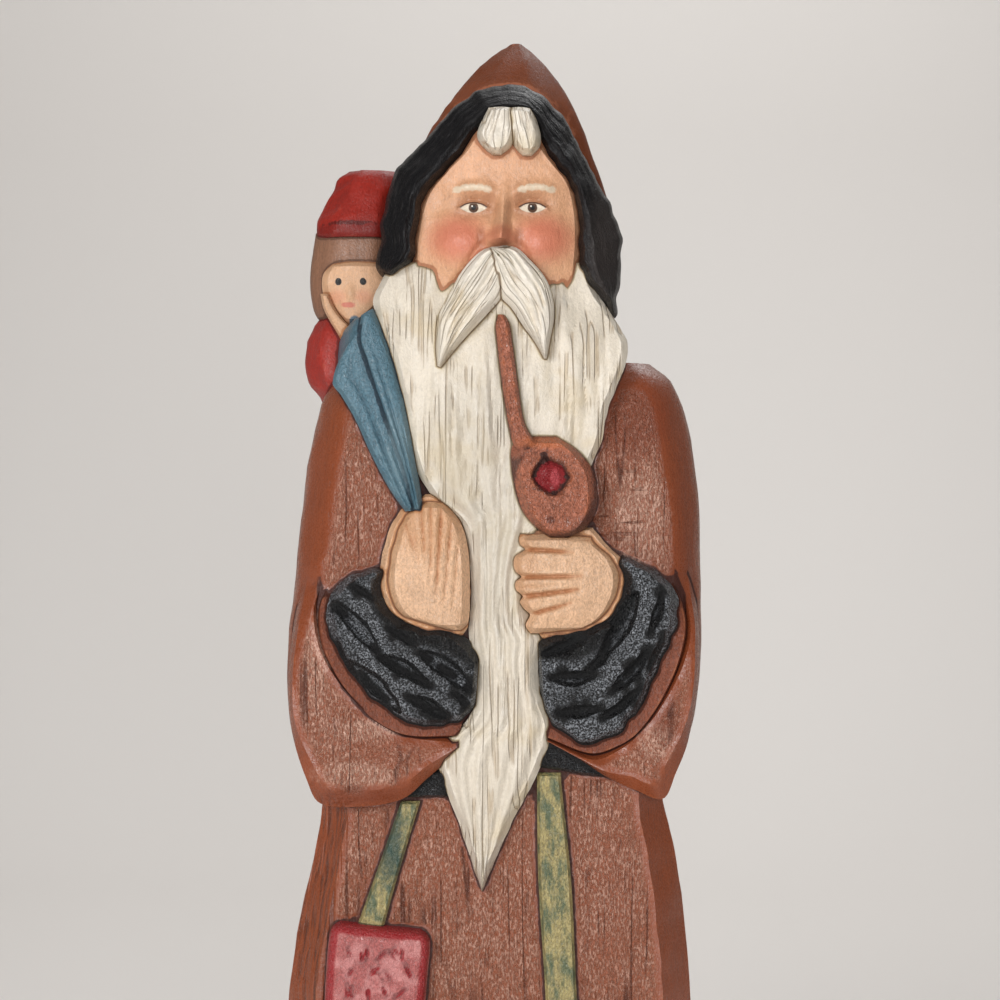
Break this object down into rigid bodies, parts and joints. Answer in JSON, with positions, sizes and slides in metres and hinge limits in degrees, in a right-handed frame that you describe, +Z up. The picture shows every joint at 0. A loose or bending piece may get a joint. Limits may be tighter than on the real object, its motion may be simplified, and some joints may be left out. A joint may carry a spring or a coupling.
{
  "type": "carved santa figure",
  "caption": "Tall Father Christmas carved from one block of wood and painted, with a hooded coat, a long beard, a pipe and a sack with a doll.",
  "frame": {"origin": "middle of the plinth's underside, which is also the middle of the box round the whole figure", "axes": "+Z up from the plinth to the tip of the hood, -Y out of the figure's face and beard, +X towards the hand that holds the pipe"},
  "size_m": [0.122, 0.088, 0.356],
  "materials": {
    "painted_wood": "satin, painted in several colours"
  },
  "bodies": {
    "root": {"carved_figure": "painted_wood"}
  },
  "joints": []
}
